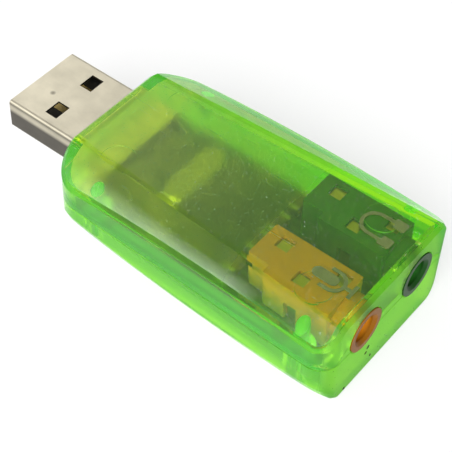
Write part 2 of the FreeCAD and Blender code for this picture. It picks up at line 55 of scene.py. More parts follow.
# The case, and where its finish changes: each pair is a start and an end
CASE_LOW, CASE_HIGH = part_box("upper_case")
CASE_MIDDLE = (CASE_LOW + CASE_HIGH) / 2
CASE_WALL = 1.4 * MM
CEILING_Z = CASE_HIGH.z - CASE_WALL
SHELL_MIDDLE_Z = CASE_HIGH.z / 2
# The painted glow also grows over this height, from the top to the bevels' feet
BEVEL_Z = (CASE_HIGH.z - 1.0 * MM, CASE_HIGH.z - 5.0 * MM)
BEVEL_HAZE_RISE_X = (-12 * MM, 2 * MM)
BEVEL_HAZE_FALL_X = (13 * MM, 17 * MM)
PLUG_HAZE_X = (-9.5 * MM, -7.5 * MM)
JACK_HAZE_X = (2 * MM, 12 * MM)
JACK_FROST_X = (10.5 * MM, 13.5 * MM)
# Here the painted glow fades out and the jack noses' painted shade begins
END_WALL_X = (CASE_HIGH.x - 1.2 * MM, CASE_HIGH.x - 0.4 * MM)

# A face of the case counts as level, not as a wall, by the parts of its normal
LEVEL_LEAST_Z = 0.55
LEVEL_MOST_X = 0.35

# Depths of the fine marks that only bend the light
WAVE_DEPTH = 0.02 * MM
GRIT_DEPTH = 0.02 * MM
ROLLING_DEPTH = 0.01 * MM
MARK_DEPTH = 0.01 * MM
TRACE_DEPTH = 0.03 * MM

# How far the scratches are turned, in radians, and the scale along X that draws fine lines out
SCRATCH_TURN = 0.5
SCRATCH_STRETCH = 0.03
ROLLING_STRETCH = 0.04

# Size of the clouds in plastics, and bands to the unit in a wave texture of scale one
CLOUD_SIZE = 2.5 * MM
WAVE_BANDS = 3.2

# The plug, with one dark scuff on its top
PLUG_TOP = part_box("usb_shell")[1].z
SCUFF_PLACE = Vector((-24.3, -1.3, 10.9)) * MM
SCUFF_CORE = 0.15 * MM
SCUFF_RIM = 0.45 * MM

# Signs at (x, y), and specks of grime at (y, z, radius), in millimetres
HEADPHONE_SIGN_PLACE = (21.7, 5.3)
MICROPHONE_SIGN_PLACE = (22.2, -4.7)
GRIME_SPECKS = ((-3.9, 4.5, 0.42), (-4.25, 3.7, 0.3), (-3.1, 2.0, 0.24), (-8.2, 0.85, 0.3))

# How deep a sign is rooted in the ceiling, and how uneven a speck is
SIGN_ROOT = 0.1 * MM
SPECK_SIDES = 10
SPECK_SEED = 4
SPECK_LEAST_REACH = 0.55
SPECK_TAPER = 0.35

# The stage: each patch of sky has its direction and how tightly it is drawn together
SKY_PATCHES = {
    "side_glow": ((-0.75, -0.55, 0.37), 10.0),
    "front_glow": ((0.25, -0.80, 0.55), 14.0),
    "back_glow": ((-0.62, 0.47, 0.63), 40.0),
}
WHITE = (1, 1, 1, 1)
FLOOR_HALF = 1.5
FLOOR_DROP = 0.01 * MM
KEY_PLACE = (0.05, -0.30, 0.40)
KEY_SIDE = 0.20
CAMERA_TARGET = Vector((6.71, -4.568, 10.9)) * MM
CAMERA_NEAR = 0.01
IMAGE_SIDE = 452
SENSOR_WIDTH = 36.0


def linear(code):
    """Linear colour, with an alpha of one, of an sRGB hex code."""
    channels = [int(code[start:start + 2], 16) / 255 for start in (1, 3, 5)]
    curve = [c / 12.92 if c <= 0.04045 else ((c + 0.055) / 1.055) ** 2.4 for c in channels]
    return (*curve, 1.0)


def colour(label, code, about):
    """Colour property that starts from an sRGB hex code."""
    return FloatVectorProperty(
        name=label, description=about, subtype="COLOR", size=4, min=0.0, max=1.0, default=linear(code)
    )


def length(label, millimetres, about):
    """Length property that starts from a size in millimetres."""
    return FloatProperty(name=label, description=about, unit="LENGTH", default=millimetres * MM)


def share(label, value, about):
    """Property that goes from nought to one."""
    return FloatProperty(name=label, description=about, subtype="FACTOR", min=0.0, max=1.0, default=value)


def number(label, value, about):
    """Plain number of nought or more."""
    return FloatProperty(name=label, description=about, min=0.0, default=value)


def angle(label, radians, about):
    """Angle property, kept in radians and shown in degrees."""
    return FloatProperty(name=label, description=about, subtype="ANGLE", default=radians)


class CaseLook(PropertyGroup):
    """Clear green plastic of the two shells, with a painted glow."""

    dye: colour("Dye", "#F6FE70", "Colour that the plastic lets through")
    dye_density: number("Dye density", 300.0, "How strongly a metre of plastic takes light away")
    # Painted glow: the glow colour and the shares below set a constant emission, which the plastic gives off
    # whatever light falls on it
    glow: colour("Glow", "#70F030", "Colour that the dye gives back in daylight")
    face_painted_glow: share("Face glow", 0.03, "How much light the dye gives back through the broad faces")
    foot_painted_glow: share("Foot glow", 0.32, "How much light the dye gives back at the feet of the bevels")
    edge_painted_glow: share("Edge glow", 0.09, "How much light the dye gives back through the walls and edges")
    end_painted_glow: share("End glow", 0.0, "How much light the dye gives back through the outside of the end wall")
    clear_tint: colour("Clear tint", "#FBFFF4", "Colour of the polished outer faces")
    frost_tint: colour("Frost tint", "#FBFF78", "Colour of the etched ceiling")
    edge_tint: colour("Edge tint", "#B0F460", "Colour of the outer walls and edges")
    wall_tint: colour("Wall tint", "#68A834", "Colour of the etched walls, which guide the dye's light")
    gloss: share("Gloss roughness", 0.03, "Roughness of the polished outer faces")
    satin: share("Satin roughness", 0.2, "Roughness of the outer walls, dulled by handling")
    end_satin: share("End roughness", 0.65, "Roughness of the end wall, rubbed by plugs")
    scratch_rough: share("Scratch roughness", 0.25, "How much rougher than a polished face its scratches are")
    frost: share("Frost roughness", 0.36, "Roughness of the etched faces inside")
    jack_frost: share("Jack frost", 0.12, "Roughness of the ceiling over the jacks")
    plug_haze: share("Plug haze", 0.30, "How much of the light the ceiling scatters by the plug")
    ceiling_haze: share("Ceiling haze", 0.11, "How much of the light the ceiling scatters half way along")
    wall_haze: share("Wall haze", 0.10, "How much of the light the etched walls scatter")
    jack_haze: share("Jack haze", 0.015, "How much of the light the etched faces scatter by the jacks")
    bevel_haze: share("Bevel haze", 0.85, "How much of the light the rubbed feet of the bevels scatter")
    bevel_start: share("Bevel start", 0.1, "How much of the bevels' haze there is at the plug's end")
    pit_haze: share("Pit haze", 0.10, "How much of the light the fine pits of the outer faces scatter")
    dust_haze: share("Dust haze", 0.4, "How much of the light the specks of dust scatter")
    face_wear: share("Face wear", 1.0, "How worn the broad outer faces are")
    wall_wear: share("Wall wear", 0.5, "How worn the outer walls are")
    scratch_spacing: length("Scratch spacing", 0.35, "Typical distance between hair scratches")
    pit_spacing: length("Pit spacing", 0.5, "Typical distance between fine pits")
    pit_size: length("Pit size", 0.12, "Radius of the fine pits, drawn coarser so that they show")
    dust_spacing: length("Dust spacing", 1.9, "Typical distance between specks of dust")
    dust_size: length("Dust size", 0.09, "Radius of the specks of dust")
    wave_length: length("Wave length", 5.0, "Distance between the faint waves in the faces")
    mist_size: length("Mist size", 7.0, "Size of the cloudy patches in the etched faces")


class PlugLook(PropertyGroup):
    """Plated sheet steel, black tongue and gilt contacts of the plug."""

    steel: colour("Steel", "#E6DEC6", "Colour of the plated steel")
    # Painted shade: the folded sides take this darker colour, the level top the lighter steel
    shaded_side_steel: colour("Dull steel", "#5E5A52", "Colour of the folded sides, where the plating is dull")
    # Painted reflection: a bright band along the sides, this far below the top
    reflection_band_drop: length("Rubbed band", 1.0, "From the top to the band that sockets rub bright on the sides")
    grain: length("Rolling grain", 0.09, "Spacing of the rolling marks on the sheet")
    stain_size: length("Stain size", 3.0, "Size of the cloudy stains in the plating")
    insulator: colour("Insulator", "#121211", "Colour of the moulded tongue")
    gilding: colour("Gilding", "#CDBB86", "Colour of the contacts")


class JackLook(PropertyGroup):
    """Moulded housings of the two jacks and their springs."""

    microphone: colour("Microphone housing", "#FFA41E", "Colour of the microphone jack")
    headphone: colour("Headphone housing", "#2F8026", "Colour of the headphone jack")
    # Painted shade: the noses past the end wall keep only this share of their colour
    nose_painted_shade: share("Nose soil", 0.28, "How much of the colour is left on the noses, soiled by plugs")
    sheen: share("Sheen", 0.15, "Mirror shine of the housings, which grain and dust take down from 0.5")
    grit: length("Mould grit", 0.25, "Grain of the spark-eroded mould, drawn coarser so that it shows")
    spring: colour("Spring", "#C9BC86", "Colour of the contact springs")


class BoardLook(PropertyGroup):
    """Circuit board and the parts on it."""

    mask: colour("Solder mask", "#1C3A1A", "Colour of the lacquer over bare laminate")
    trace: colour("Trace", "#2F5A26", "Colour of the lacquer over copper")
    trace_pitch: length("Trace pitch", 1.2, "Distance between copper traces")
    trace_area: length("Trace area", 6.0, "Size of the areas with and without traces")
    solder: colour("Solder", "#C9CACB", "Colour of tinned ends and joints")
    can: colour("Crystal can", "#B4B09C", "Colour of the crystal's drawn can")
    resin: colour("Resin", "#0D0D0D", "Colour of the resin drop")
    ceramic: colour("Ceramic", "#8A6A44", "Colour of the capacitors")
    glaze: colour("Glaze", "#161616", "Colour of the resistors")


class SignLook(PropertyGroup):
    """Jack signs moulded inside the top, and specks of grime."""

    relief: colour("Sign", "#84867C", "Colour of the matt signs")
    relief_height: length("Sign height", 0.05, "How far a sign stands off the ceiling")
    grime: colour("Grime", "#1B1A12", "Colour of the dried specks")
    grime_height: length("Grime height", 0.04, "How far a speck stands off the wall")


class StageLook(PropertyGroup):
    """Floor, sky, lamp and camera."""

    floor: colour("Floor", "#A0A0A0", "Colour of the floor under the object")
    floor_white: number("Floor white", 0.64, "White that the floor adds where it is seen")
    sky: number("Sky", 0.28, "Strength of the even light from all round")
    side_glow: number("Side glow", 1.5, "Strength of the soft patch of sky beside the plug")
    front_glow: number("Front glow", 10.0, "Strength of the soft patch of sky over the near side")
    back_glow: number("Back glow", 1.38, "Strength of the soft patch of sky that the plug mirrors")
    key_power: FloatProperty(name="Key lamp", description="Power of the soft box", unit="POWER", default=0.30)
    camera_azimuth: angle("Azimuth", 0.6419, "Camera's turn from the near side towards the jacks")
    camera_elevation: angle("Elevation", 0.8580, "Camera's rise above the floor")
    camera_roll: angle("Roll", 0.0450, "Camera's tilt about its own line of sight")
    camera_distance: length("Distance", 161.12, "From the camera to the point that it looks at")
    focal_pixels: number("Focal length", 1367.56, "Focal length in widths of one pixel")


def add(tree, kind, inputs=None, **settings):
    """Adds a node, with its settings, and gives each named input a value or a link from another node."""
    node = tree.nodes.new(kind)
    for name, value in settings.items():
        setattr(node, name, value)
    for name, value in (inputs or {}).items():
        if isinstance(value, bpy.types.NodeSocket):
            tree.links.new(value, node.inputs[name])
        else:
            node.inputs[name].default_value = value
    return node


def start_material(name):
    """Empty material with its output node, and object coordinates in metres."""
    material = bpy.data.materials.new(name)
    material.use_nodes = True
    tree = material.node_tree
    tree.nodes.clear()
    output = add(tree, "ShaderNodeOutputMaterial")
    place = add(tree, "ShaderNodeTexCoord").outputs["Object"]
    return material, tree, output, place


def dress(node, *materials):
    """Gives a CAD node its materials, the first one all over."""
    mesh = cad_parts[node].data
    mesh.materials.clear()
    for material in materials:
        mesh.materials.append(material)
    for face in mesh.polygons:
        face.material_index = 0
    return mesh


def piece(name, mesh_maker, material):
    """New mesh object that rides on the object's body."""
    mesh = bpy.data.meshes.new(name)
    body = bmesh.new()
    mesh_maker(body)
    body.to_mesh(mesh)
    body.free()
    mesh.materials.append(material)
    thing = bpy.data.objects.new(name, mesh)
    bpy.context.scene.collection.objects.link(thing)
    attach(thing, BODY)
    return thing


def fade(tree, place, axis, span, first, last):
    """Value that goes from first to last as one coordinate goes from the start to the end of a span."""
    start, end = span
    spot = add(tree, "ShaderNodeSeparateXYZ", {"Vector": place})
    change = add(
        tree, "ShaderNodeMapRange",
        {"Value": spot.outputs[axis], "From Min": start, "From Max": end, "To Min": first, "To Max": last},
    )
    return change.outputs[0]


def dyed_acrylic_painted_glow(tree, output, place, look, tint, glow, rough, scatter):
    """Clear acrylic with a fluorescent green dye: deeper green the thicker it is, with faint waves in its
    faces and a painted glow, a constant emission.
    """
    clear = add(tree, "ShaderNodeMath", {0: 1.0, 1: scatter}, operation="SUBTRACT", use_clamp=True)
    flow = add(tree, "ShaderNodeTexNoise", {"Vector": place, "Scale": 1 / look.wave_length, "Detail": 1.0})
    waves = add(
        tree, "ShaderNodeBump", {"Height": flow.outputs["Fac"], "Strength": 0.3, "Distance": WAVE_DEPTH}
    )
    shader = add(
        tree, "ShaderNodeBsdfPrincipled",
        {
            "Base Color": tint,
            "Roughness": rough,
            "IOR": 1.49,
            "Transmission Weight": clear.outputs[0],
            # Painted glow: a constant emission in the glow colour
            "Emission Color": look.glow,
            "Emission Strength": glow,
            "Normal": waves.outputs[0],
        },
    )
    dye = add(tree, "ShaderNodeVolumeAbsorption", {"Color": look.dye, "Density": look.dye_density})
    tree.links.new(shader.outputs[0], output.inputs["Surface"])
    tree.links.new(dye.outputs[0], output.inputs["Volume"])


def hair_scratches(tree, place, look, smooth, wear):
    """Roughness of an outer face that is smooth but for slanting hair scratches."""
    stretched = add(
        tree, "ShaderNodeMapping",
        {"Vector": place, "Rotation": (0, 0, SCRATCH_TURN), "Scale": (SCRATCH_STRETCH, 1, 1)},
    )
    streaks = add(
        tree, "ShaderNodeTexNoise",
        {"Vector": stretched.outputs[0], "Scale": 1 / look.scratch_spacing, "Detail": 2.0},
    )
    rough = add(
        tree, "ShaderNodeMapRange",
        {
            "Value": streaks.outputs["Fac"], "From Min": 0.66, "From Max": 0.72,
            "To Min": smooth, "To Max": look.gloss + look.scratch_rough * wear,
        },
    )
    return rough.outputs[0]


def dust_and_pits(tree, place, look, scatter, wear):
    """Light that an outer face scatters, with its dust and fine pits added to what it scatters anyway."""
    for spacing, radius, haze in (
        (look.dust_spacing, look.dust_size, look.dust_haze),
        (look.pit_spacing, look.pit_size, look.pit_haze),
    ):
        cells = add(tree, "ShaderNodeTexVoronoi", {"Vector": place, "Scale": 1 / spacing})
        reach = radius / spacing
        specks = add(
            tree, "ShaderNodeMapRange",
            {
                "Value": cells.outputs["Distance"], "From Min": reach, "From Max": reach / 2,
                "To Max": haze * wear,
            },
        )
        total = add(tree, "ShaderNodeMath", {0: specks.outputs[0], 1: scatter}, operation="ADD")
        scatter = total.outputs[0]
    return scatter


def polished_face(look):
    """Acrylic, moulded against polished steel: clear and glossy, milky where hands rub the bevels' feet, with
    a painted glow that grows towards those feet.
    """
    material, tree, output, place = start_material("Acrylic, moulded, polished face")
    rough = hair_scratches(tree, place, look, look.gloss, look.face_wear)
    rise = fade(tree, place, "X", BEVEL_HAZE_RISE_X, look.bevel_start, 1.0)
    fall = fade(tree, place, "X", BEVEL_HAZE_FALL_X, 1.0, 0.0)
    along = add(tree, "ShaderNodeMath", {0: rise, 1: fall}, operation="MULTIPLY")
    depth = fade(tree, place, "Z", BEVEL_Z, 0.0, look.bevel_haze)
    milk = add(tree, "ShaderNodeMath", {0: along.outputs[0], 1: depth}, operation="MULTIPLY")
    scatter = dust_and_pits(tree, place, look, milk.outputs[0], look.face_wear)
    # Painted glow, which grows from the top face to the feet of the bevels
    glow = fade(tree, place, "Z", BEVEL_Z, look.face_painted_glow, look.foot_painted_glow)
    dyed_acrylic_painted_glow(tree, output, place, look, look.clear_tint, glow, rough, scatter)
    return material


def satin_wall(look):
    """Acrylic, moulded and dulled by handling: deep green with a soft sheen, duller where plugs rub it, and a
    painted glow that fades out on the end wall.
    """
    material, tree, output, place = start_material("Acrylic, moulded, satin wall")
    smooth = fade(tree, place, "X", END_WALL_X, look.satin, look.end_satin)
    rough = hair_scratches(tree, place, look, smooth, look.wall_wear)
    scatter = dust_and_pits(tree, place, look, 0.0, look.wall_wear)
    # Painted glow on the walls, which fades out on the end wall
    glow = fade(tree, place, "X", END_WALL_X, look.edge_painted_glow, look.end_painted_glow)
    dyed_acrylic_painted_glow(tree, output, place, look, look.edge_tint, glow, rough, scatter)
    return material


def etched_acrylic(name, look, tint, glow, plug_haze, haze, jack_frost):
    """Acrylic, moulded against etched steel: milky, it blurs what lies behind, less so by the jacks, with a
    faint painted glow.
    """
    material, tree, output, place = start_material(name)
    rough = fade(tree, place, "X", JACK_FROST_X, look.frost, jack_frost)
    mist = add(
        tree, "ShaderNodeTexNoise",
        {"Vector": place, "Scale": 1 / look.mist_size, "Detail": 6.0, "Roughness": 0.75},
    )
    cloud = add(
        tree, "ShaderNodeMapRange",
        {"Value": mist.outputs["Fac"], "From Min": 0.35, "From Max": 0.7, "To Min": 0.4, "To Max": 2.0},
    )
    by_plug = fade(tree, place, "X", PLUG_HAZE_X, plug_haze - haze, 0.0)
    by_jacks = fade(tree, place, "X", JACK_HAZE_X, haze, look.jack_haze)
    along = add(tree, "ShaderNodeMath", {0: by_plug, 1: by_jacks}, operation="ADD")
    scatter = add(
        tree, "ShaderNodeMath", {0: cloud.outputs[0], 1: along.outputs[0]}, operation="MULTIPLY"
    )
    dyed_acrylic_painted_glow(tree, output, place, look, tint, glow, rough, scatter.outputs[0])
    return material


def plated_steel(look):
    """Nickel-plated sheet steel, rolled and folded: fine rolling lines along the plug, with painted shade on
    the folded sides.

    A painted reflection lies as a bright band along the shaded sides.
    """
    material, tree, output, place = start_material("Nickel-plated steel, rolled sheet")
    along = add(tree, "ShaderNodeMapping", {"Vector": place, "Scale": (ROLLING_STRETCH, 1, 1)})
    lines = add(
        tree, "ShaderNodeTexNoise", {"Vector": along.outputs[0], "Scale": 1 / look.grain, "Detail": 3.0}
    )
    stains = add(tree, "ShaderNodeTexNoise", {"Vector": place, "Scale": 1 / look.stain_size, "Detail": 4.0})
    # Painted shade: faces that are not level, the folded sides, take the darker side colour
    facing = add(tree, "ShaderNodeTexCoord").outputs["Normal"]
    upright = add(tree, "ShaderNodeSeparateXYZ", {"Vector": facing})
    level = add(tree, "ShaderNodeMath", {0: upright.outputs["Z"]}, operation="ABSOLUTE")
    flat = add(
        tree, "ShaderNodeMapRange", {"Value": level.outputs[0], "From Min": 0.2, "From Max": 0.75}
    )
    # Painted reflection: a bright band runs along the sides below the top
    drop = fade(tree, place, "Z", (PLUG_TOP, PLUG_TOP - 2 * look.reflection_band_drop), -1.0, 1.0)
    away = add(tree, "ShaderNodeMath", {0: drop}, operation="ABSOLUTE")
    band = add(
        tree, "ShaderNodeMapRange",
        {"Value": away.outputs[0], "From Min": 0.2, "From Max": 0.8, "To Min": 0.7, "To Max": 0.0},
    )
    # Painted light: the lit share, taken from the level top or the reflection band
    rubbed = add(
        tree, "ShaderNodeMath", {0: flat.outputs[0], 1: band.outputs[0]}, operation="MAXIMUM"
    )
    lit_and_shaded_tone = add(
        tree, "ShaderNodeMix", {0: rubbed.outputs[0], 6: look.shaded_side_steel, 7: look.steel}, data_type="RGBA"
    )
    bright = add(
        tree, "ShaderNodeMapRange",
        {"Value": stains.outputs["Fac"], "From Min": 0.3, "From Max": 0.7, "To Min": 0.84, "To Max": 1.06},
    )
    scuff_way = add(tree, "ShaderNodeVectorMath", {0: place, 1: SCUFF_PLACE}, operation="DISTANCE")
    scuff = add(
        tree, "ShaderNodeMapRange",
        {"Value": scuff_way.outputs["Value"], "From Min": SCUFF_CORE, "From Max": SCUFF_RIM, "To Min": 0.45},
    )
    worn = add(tree, "ShaderNodeMath", {0: bright.outputs[0], 1: scuff.outputs[0]}, operation="MULTIPLY")
    tint = add(
        tree, "ShaderNodeMix", {0: 1.0, 6: lit_and_shaded_tone.outputs[2], 7: worn.outputs[0]},
        data_type="RGBA", blend_type="MULTIPLY",
    )
    rough = add(
        tree, "ShaderNodeMapRange", {"Value": lines.outputs["Fac"], "To Min": 0.24, "To Max": 0.42}
    )
    bump = add(
        tree, "ShaderNodeBump", {"Height": lines.outputs["Fac"], "Strength": 0.25, "Distance": ROLLING_DEPTH}
    )
    shader = add(
        tree, "ShaderNodeBsdfPrincipled",
        {
            "Base Color": tint.outputs[2],
            "Metallic": 1.0,
            "Roughness": rough.outputs[0],
            "Normal": bump.outputs[0],
        },
    )
    tree.links.new(shader.outputs[0], output.inputs["Surface"])
    return material


def moulded_plastic(name, shade, grit, roughness, sheen=0.5, nose_painted_shade=1.0):
    """ABS or a like plastic, moulded in a spark-eroded mould: an even colour with a fine matt grain.

    The noses that reach through the end wall are painted darker as shade; the last argument gives the share
    of colour left there.
    """
    material, tree, output, place = start_material(name)
    grain = add(tree, "ShaderNodeTexNoise", {"Vector": place, "Scale": 1 / grit, "Detail": 3.0})
    clouds = add(tree, "ShaderNodeTexNoise", {"Vector": place, "Scale": 1 / CLOUD_SIZE, "Detail": 3.0})
    bright = add(
        tree, "ShaderNodeMapRange", {"Value": clouds.outputs["Fac"], "To Min": 0.85, "To Max": 1.12}
    )
    # Painted shade: past the end wall the colour is darkened to the nose share
    left = fade(tree, place, "X", END_WALL_X, 1.0, nose_painted_shade)
    soiled = add(tree, "ShaderNodeMath", {0: bright.outputs[0], 1: left}, operation="MULTIPLY")
    tint = add(
        tree, "ShaderNodeMix", {0: 1.0, 6: shade, 7: soiled.outputs[0]},
        data_type="RGBA", blend_type="MULTIPLY",
    )
    rough = add(
        tree, "ShaderNodeMapRange",
        {"Value": grain.outputs["Fac"], "To Min": roughness - 0.08, "To Max": roughness + 0.08},
    )
    bump = add(
        tree, "ShaderNodeBump", {"Height": grain.outputs["Fac"], "Strength": 0.3, "Distance": GRIT_DEPTH}
    )
    shader = add(
        tree, "ShaderNodeBsdfPrincipled",
        {
            "Base Color": tint.outputs[2],
            "Roughness": rough.outputs[0],
            "IOR": 1.53,
            "Specular IOR Level": sheen,
            "Normal": bump.outputs[0],
        },
    )
    tree.links.new(shader.outputs[0], output.inputs["Surface"])
    return material


def bright_metal(name, shade, mark_size, smoothest, roughest):
    """Plated, tinned or drawn metal: a tight sheen broken up by fine uneven marks."""
    material, tree, output, place = start_material(name)
    marks = add(tree, "ShaderNodeTexNoise", {"Vector": place, "Scale": 1 / mark_size, "Detail": 4.0})
    rough = add(
        tree, "ShaderNodeMapRange", {"Value": marks.outputs["Fac"], "To Min": smoothest, "To Max": roughest}
    )
    bump = add(
        tree, "ShaderNodeBump", {"Height": marks.outputs["Fac"], "Strength": 0.2, "Distance": MARK_DEPTH}
    )
    shader = add(
        tree, "ShaderNodeBsdfPrincipled",
        {"Base Color": shade, "Metallic": 1.0, "Roughness": rough.outputs[0], "Normal": bump.outputs[0]},
    )
    tree.links.new(shader.outputs[0], output.inputs["Surface"])
    return material


def lacquered_board(look):
    """Glass-epoxy laminate under green solder mask: copper traces show paler through the lacquer."""
    material, tree, output, place = start_material("Glass-epoxy laminate, green solder mask")
    wander = add(tree, "ShaderNodeTexNoise", {"Vector": place, "Scale": 1 / look.trace_area, "Detail": 0.0})
    rows = add(
        tree, "ShaderNodeTexWave",
        {"Vector": place, "Scale": 1 / (look.trace_pitch * WAVE_BANDS), "Distortion": 2.0, "Detail": 0.0},
        bands_direction="Y",
    )
    edge = add(
        tree, "ShaderNodeMapRange", {"Value": rows.outputs["Fac"], "From Min": 0.62, "From Max": 0.7}
    )
    area = add(
        tree, "ShaderNodeMapRange", {"Value": wander.outputs["Fac"], "From Min": 0.42, "From Max": 0.46}
    )
    copper = add(tree, "ShaderNodeMath", {0: edge.outputs[0], 1: area.outputs[0]}, operation="MULTIPLY")
    tint = add(
        tree, "ShaderNodeMix", {0: copper.outputs[0], 6: look.mask, 7: look.trace}, data_type="RGBA"
    )
    bump = add(
        tree, "ShaderNodeBump", {"Height": copper.outputs[0], "Strength": 0.5, "Distance": TRACE_DEPTH}
    )
    rough = add(
        tree, "ShaderNodeMapRange", {"Value": wander.outputs["Fac"], "To Min": 0.25, "To Max": 0.4}
    )
    shader = add(
        tree, "ShaderNodeBsdfPrincipled",
        {"Base Color": tint.outputs[2], "Roughness": rough.outputs[0], "Normal": bump.outputs[0]},
    )
    tree.links.new(shader.outputs[0], output.inputs["Surface"])
    return material


class SOUNDCARD_OT_case(Operator):
    """Dress the two shells: polished top, satin walls, etched inside"""

    bl_idname = "soundcard.case"
    bl_label = "Case shells"

    def execute(self, context):
        look = context.scene.soundcard_case
        finishes = (
            polished_face(look),
            # The etched face and wall take a faint painted glow as well
            etched_acrylic(
                "Acrylic, moulded, etched face", look, look.frost_tint, look.face_painted_glow,
                look.plug_haze, look.ceiling_haze, look.jack_frost,
            ),
            satin_wall(look),
            etched_acrylic(
                "Acrylic, moulded, etched wall", look, look.wall_tint, look.edge_painted_glow,
                look.wall_haze, look.wall_haze, look.frost,
            ),
        )
        for node in ("upper_case", "lower_case"):
            for face in dress(node, *finishes).polygons:
                level = abs(face.normal.z) > LEVEL_LEAST_Z and abs(face.normal.x) < LEVEL_MOST_X
                if level:
                    inside = face.normal.z * (face.center.z - SHELL_MIDDLE_Z) < 0
                else:
                    inward = Vector((CASE_MIDDLE.x - face.center.x, -face.center.y))
                    inside = inward.dot(face.normal.xy) > 0
                broad = level and node == "upper_case"
                face.material_index = (0 if broad else 2) + inside
        return {"FINISHED"}


class SOUNDCARD_OT_plug(Operator):
    """Dress the plug: plated shell, black tongue and gilt contacts"""

    bl_idname = "soundcard.plug"
    bl_label = "Plug"

    def execute(self, context):
        look = context.scene.soundcard_plug
        tongue = moulded_plastic("Nylon, moulded, black", look.insulator, grit=0.3 * MM, roughness=0.5)
        gilt = bright_metal("Brass, gilt", look.gilding, mark_size=0.3 * MM, smoothest=0.18, roughest=0.32)
        dress("usb_shell", plated_steel(look))
        dress("usb_insulator", tongue)
        dress("usb_contacts", gilt)
        return {"FINISHED"}


class SOUNDCARD_OT_jacks(Operator):
    """Dress the jack housings and their contact springs"""

    bl_idname = "soundcard.jacks"
    bl_label = "Jacks"

    def execute(self, context):
        look = context.scene.soundcard_jacks
        spring = bright_metal(
            "Phosphor bronze, tinned", look.spring, mark_size=0.3 * MM, smoothest=0.25, roughest=0.45
        )
        for jack, shade in (("microphone", look.microphone), ("headphone", look.headphone)):
            # The housings' noses take a painted shade past the end wall
            housing = moulded_plastic(
                "ABS, moulded, " + jack, shade, look.grit, roughness=0.42,
                sheen=look.sheen, nose_painted_shade=look.nose_painted_shade,
            )
            dress(jack + "_housing", housing)
            for contact in ("tip", "ring", "sleeve"):
                dress(jack + "_" + contact + "_spring", spring)
        return {"FINISHED"}


class SOUNDCARD_OT_board(Operator):
    """Dress the circuit board and the parts on it"""

    bl_idname = "soundcard.board"
    bl_label = "Board"

    def execute(self, context):
        look = context.scene.soundcard_board
        tin = bright_metal(
            "Tin solder, reflowed", look.solder, mark_size=0.4 * MM, smoothest=0.2, roughest=0.45
        )
        can = bright_metal(
            "Nickel silver, drawn", look.can, mark_size=0.5 * MM, smoothest=0.22, roughest=0.36
        )
        resin = moulded_plastic("Epoxy, cast, black", look.resin, grit=0.6 * MM, roughness=0.35)
        ceramic = moulded_plastic("Barium titanate, fired", look.ceramic, grit=0.2 * MM, roughness=0.5)
        glaze = moulded_plastic("Glass glaze, fired", look.glaze, grit=0.2 * MM, roughness=0.3)
        dress("circuit_board", lacquered_board(look))
        for node in ("solder_joints", "crystal_leads", "capacitor_ends", "resistor_ends"):
            dress(node, tin)
        for node in ("crystal_can", "crystal_base"):
            dress(node, can)
        dress("codec_blob", resin)
        dress("capacitor_bodies", ceramic)
        dress("resistor_bodies", glaze)
        return {"FINISHED"}


def arc(radius, start, end, steps=14):
    """Points on an arc round the origin, from one angle to another in degrees."""
    angles = [math.radians(start + (end - start) * step / steps) for step in range(steps + 1)]
    return [(radius * math.cos(turn), radius * math.sin(turn)) for turn in angles]


def mirrored(half):
    """Closed outline from its right half, which starts and ends on the middle line."""
    middle_line = 1e-6
    return half + [(-u, v) for u, v in reversed(half) if u > middle_line]


def headphone_outlines():
    """Head band that runs down into two ear cups, in millimetres."""
    band_outer = 1.9
    band_inner = 1.45
    crown = 0.7
    cup_outer = 2.3
    cup_inner = 0.85
    foot_outer = 2.1
    foot_inner = 1.0
    band_end = -0.8
    cup_top = -0.95
    cup_seat = -1.1
    cup_corner = -2.4
    cup_foot = -2.6
    outer = [(u, v + crown) for u, v in arc(band_outer, 90, 0)]
    cup = [
        (band_outer, band_end), (cup_outer, cup_top), (cup_outer, cup_corner), (foot_outer, cup_foot),
        (foot_inner, cup_foot), (cup_inner, cup_corner), (cup_inner, cup_seat), (band_inner, cup_seat),
    ]
    inner = [(u, v + crown) for u, v in arc(band_inner, 0, 90)]
    return [mirrored(outer + cup + inner)]


def microphone_outlines():
    """Capsule over a cradle with a stem and a foot, in millimetres."""
    capsule_radius = 0.75
    capsule_top = 2.1
    capsule_low = 0.1
    cradle_inner = 1.2
    cradle_outer = 1.65
    cradle_top = 1.1
    stem_half = 0.23
    stem_turn = -82
    foot_half = 1.05
    foot_top = -2.4
    foot_low = -2.85
    top = [(u, v + capsule_top) for u, v in arc(capsule_radius, 90, 0)]
    bottom = [(u, v + capsule_low) for u, v in arc(capsule_radius, 0, -90)]
    inner = [*arc(cradle_inner, -90, 0), (cradle_inner, cradle_top)]
    outer = [(cradle_outer, cradle_top), *arc(cradle_outer, 0, stem_turn)]
    stem = [(stem_half, foot_top), (foot_half, foot_top), (foot_half, foot_low), (0.0, foot_low)]
    return [mirrored(top + bottom), mirrored(inner + outer + stem)]


def relief_maker(outlines, centre, height):
    """Function that fills a mesh with thin flat shapes under the ceiling; their tops point to the plug."""
    middle_x, middle_y = centre

    def make(body):
        for outline in outlines:
            corners = [
                body.verts.new((middle_x * MM - v * MM, middle_y * MM - u * MM, CEILING_Z + SIGN_ROOT))
                for u, v in outline
            ]
            face = body.faces.new(corners)
            face.normal_update()
            if face.normal.z < 0:
                face.normal_flip()
            grown = bmesh.ops.extrude_face_region(body, geom=[face])
            lowered = [item for item in grown["geom"] if isinstance(item, bmesh.types.BMVert)]
            bmesh.ops.translate(body, vec=(0, 0, -height - SIGN_ROOT), verts=lowered)
        bmesh.ops.recalc_face_normals(body, faces=body.faces)
        bmesh.ops.triangulate(body, faces=[face for face in body.faces if len(face.verts) > 4])

    return make


